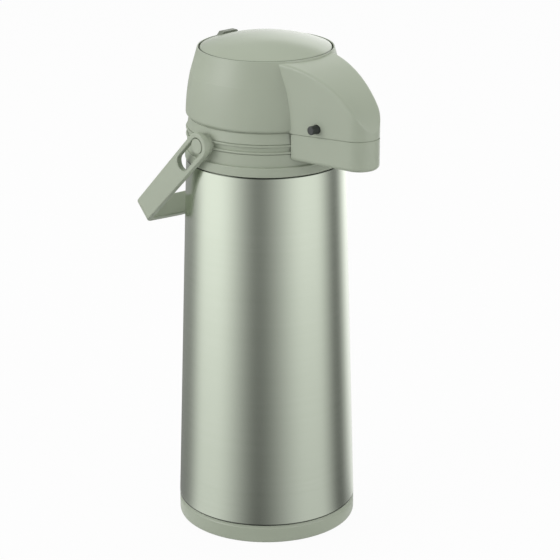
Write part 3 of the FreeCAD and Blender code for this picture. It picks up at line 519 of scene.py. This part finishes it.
def addCamera():
    towards, aside = cameraSide()
    lift = math.radians(cameraSet["elevation"])
    aim = Vector((0, 0, cameraSet["aimHeight"])) + aside * cameraSet["aimAside"]
    lens = bpy.data.cameras.new("photoLens")
    lens.lens = cameraSet["lens"]
    lens.sensor_width = cameraSet["sensor"]
    camera = bpy.data.objects.new("photoCamera", lens)
    view = towards * math.cos(lift) + Vector((0, 0, math.sin(lift)))
    camera.location = aim + view * cameraSet["distance"]
    camera.rotation_euler = (-view).to_track_quat("-Z", "Y").to_euler()
    scene.collection.objects.link(camera)
    scene.camera = camera


lampSet = {
    "overhead": {"around": 185.0, "height": 1.7, "out": 0.80, "size": 1.4, "power": 15.0, "glossy": False},
    "leftBox": {"around": -70.0, "height": 0.90, "out": 1.7, "size": 1.2, "power": 17.0},
    "rightBox": {"around": 55.0, "height": 0.70, "out": 1.8, "size": 1.2, "power": 12.5},
    "rearBox": {"around": 175.0, "height": 1.3, "out": 1.9, "size": 1.4, "power": 5.0, "glossy": False},
}
lampAimHeight = 0.2


def addLamp(name, lamp):
    towards, aside = cameraSide()
    around = math.radians(lamp["around"])
    out = towards * math.cos(around) + aside * math.sin(around)
    light = bpy.data.lights.new(name, "AREA")
    light.size = lamp["size"]
    light.energy = lamp["power"]
    holder = bpy.data.objects.new(name, light)
    holder.location = out * lamp["out"] + Vector((0, 0, lamp["height"]))
    aim = Vector((0, 0, lampAimHeight))
    holder.rotation_euler = (aim - holder.location).to_track_quat("-Z", "Y").to_euler()
    holder.visible_glossy = lamp.get("glossy", True)
    scene.collection.objects.link(holder)


skySet = {
    "fill": 0.78, "fillOverhead": 0.45, "shown": 1.0, "shownOverhead": 0.22, "dimFrom": 0.18, "dimTo": 0.62,
    "floorWhite": 0.96, "floorColour": rgb(0.50, 0.50, 0.50), "floorReach": 9.0,
}


def shownRays(paint):
    camera = paint.node("ShaderNodeLightPath", out="Is Camera Ray")
    glossy = paint.node("ShaderNodeLightPath", out="Is Glossy Ray")
    clear = paint.node("ShaderNodeLightPath", out="Is Transmission Ray")
    return paint.node("ShaderNodeMath", {"operation": "MINIMUM"}, {0: camera + glossy + clear, 1: 1.0})


def addSky():
    world = bpy.data.worlds.new("studioSky")
    world.use_nodes = True
    paint = Paint(world.node_tree)
    way = paint.node("ShaderNodeTexCoord", out="Generated")
    overhead = paint.fade(paint.part(way, "Z"), skySet["dimFrom"], skySet["dimTo"])
    fill = skySet["fill"] + overhead * (skySet["fillOverhead"] - skySet["fill"])
    shown = skySet["shown"] + overhead * (skySet["shownOverhead"] - skySet["shown"])
    strength = fill + shownRays(paint) * (shown - fill)
    light = paint.node("ShaderNodeBackground", None, {"Color": rgb(1, 1, 1), "Strength": strength})
    paint.node("ShaderNodeOutputWorld", None, {"Surface": light})
    scene.world = world


def addFloor():
    material, paint = newMaterial("paleFloor")
    matt = paint.node("ShaderNodeBsdfDiffuse", None, {"Color": skySet["floorColour"]})
    white = paint.node("ShaderNodeEmission", None, {"Color": rgb(1, 1, 1), "Strength": 1.0})
    share = shownRays(paint) * skySet["floorWhite"]
    mixed = paint.node("ShaderNodeMixShader", None, {0: share, 1: matt, 2: white})
    paint.node("ShaderNodeOutputMaterial", None, {"Surface": mixed})
    bm = bmesh.new()
    bmesh.ops.create_grid(bm, x_segments=1, y_segments=1, size=skySet["floorReach"])
    mesh = bpy.data.meshes.new("floor")
    bm.to_mesh(mesh)
    bm.free()
    mesh.materials.append(material)
    floor = bpy.data.objects.new("floor", mesh)
    scene.collection.objects.link(floor)


reflectorSet = {
    "profile": [(0.075, 0.0008), (1.30, 0.0008), (1.60, 0.12), (1.75, 0.50), (1.80, 1.30)], "steps": 96,
    "haze": 0.20,
    "strips": {  # degrees round from the camera: middle, full width and fade to each side
        "left": {"middle": -82.0, "full": 10.0, "fadeBack": 42.0, "fadeOn": 64.0, "level": 0.88},
        "right": {"middle": 65.0, "full": 9.0, "fadeBack": 70.0, "fadeOn": 38.0, "level": 0.72},
        "rear": {"middle": 159.0, "full": 9.0, "fadeBack": 36.0, "fadeOn": 28.0, "level": 1.10},
        "leftRear": {"middle": -156.0, "full": 20.0, "fadeBack": 24.0, "fadeOn": 24.0, "level": 0.14},
    },
    "brightest": 1.3, "level": 1.10, "nearShare": 0.70, "nearReach": 0.10, "farReach": 0.95,
    "flaskRadius": 0.060, "rounds": 3, "frontTo": 115.0,
}


def stripOf(paint, heading, strip):
    middle, full, back, on = (math.radians(strip[key]) for key in ("middle", "full", "fadeBack", "fadeOn"))
    offset = heading - middle
    turn = paint.node("ShaderNodeMath", {"operation": "WRAP"}, {0: offset, 1: math.pi, 2: -math.pi})
    return paint.fade(turn, -full - back, -full) * paint.fade(turn, full + on, full) * strip["level"]


def addReflector():
    towards, aside = cameraSide()
    material, paint = newMaterial("bandedReflector")
    place = paint.node("ShaderNodeTexCoord", out="Object")
    dot = {"operation": "DOT_PRODUCT"}
    ahead = paint.node("ShaderNodeVectorMath", dot, {0: place, 1: towards}, out="Value")
    across = paint.node("ShaderNodeVectorMath", dot, {0: place, 1: aside}, out="Value")
    around = paint.node("ShaderNodeMath", {"operation": "ARCTAN2"}, {0: across, 1: ahead})
    reach = paint.node("ShaderNodeVectorMath", {"operation": "LENGTH"}, {0: place}, out="Value")
    heading = around  # the way a ray left the flask's side, which is off its axis; eased off behind
    for step in range(reflectorSet["rounds"]):
        half = paint.node("ShaderNodeMath", {"operation": "SINE"}, {0: heading * 0.5})
        behind = paint.node("ShaderNodeMath", {"operation": "ABSOLUTE"}, {0: heading})
        half = half * paint.fade(behind, math.pi, math.radians(reflectorSet["frontTo"]))
        slant = reflectorSet["flaskRadius"] / reach * half
        lean = paint.node("ShaderNodeMath", {"operation": "ARCSINE"}, {0: slant})
        heading = around + lean
    bands = reflectorSet["haze"]
    for strip in reflectorSet["strips"].values():
        bands = bands + stripOf(paint, heading, strip)
    nearness = paint.node("ShaderNodeMapRange", None, {
        "Value": reach, "From Min": reflectorSet["nearReach"], "From Max": reflectorSet["farReach"],
        "To Min": reflectorSet["nearShare"], "To Max": 1.0})
    glow = paint.node("ShaderNodeEmission", None, {
        "Color": bands * nearness / reflectorSet["brightest"],
        "Strength": reflectorSet["brightest"] * reflectorSet["level"]})
    paint.node("ShaderNodeOutputMaterial", None, {"Surface": glow})
    bm = bmesh.new()
    rail = [bm.verts.new((radius, 0, height)) for radius, height in reflectorSet["profile"]]
    edges = [bm.edges.new(pair) for pair in zip(rail, rail[1:])]
    bmesh.ops.spin(bm, geom=rail + edges, cent=(0, 0, 0), axis=(0, 0, 1), angle=2 * math.pi,
                   steps=reflectorSet["steps"], use_merge=True)
    mesh = bpy.data.meshes.new("reflector")
    bm.to_mesh(mesh)
    bm.free()
    mesh.materials.append(material)
    reflector = bpy.data.objects.new("reflector", mesh)
    scene.collection.objects.link(reflector)
    reflector.visible_camera = False
    reflector.visible_diffuse = False
    reflector.visible_shadow = False
    reflector.visible_transmission = False


addCamera()
for name, lamp in lampSet.items():
    addLamp(name, lamp)
addSky()
addFloor()
addReflector()
print("studio set:", len(lampSet), "lamps")
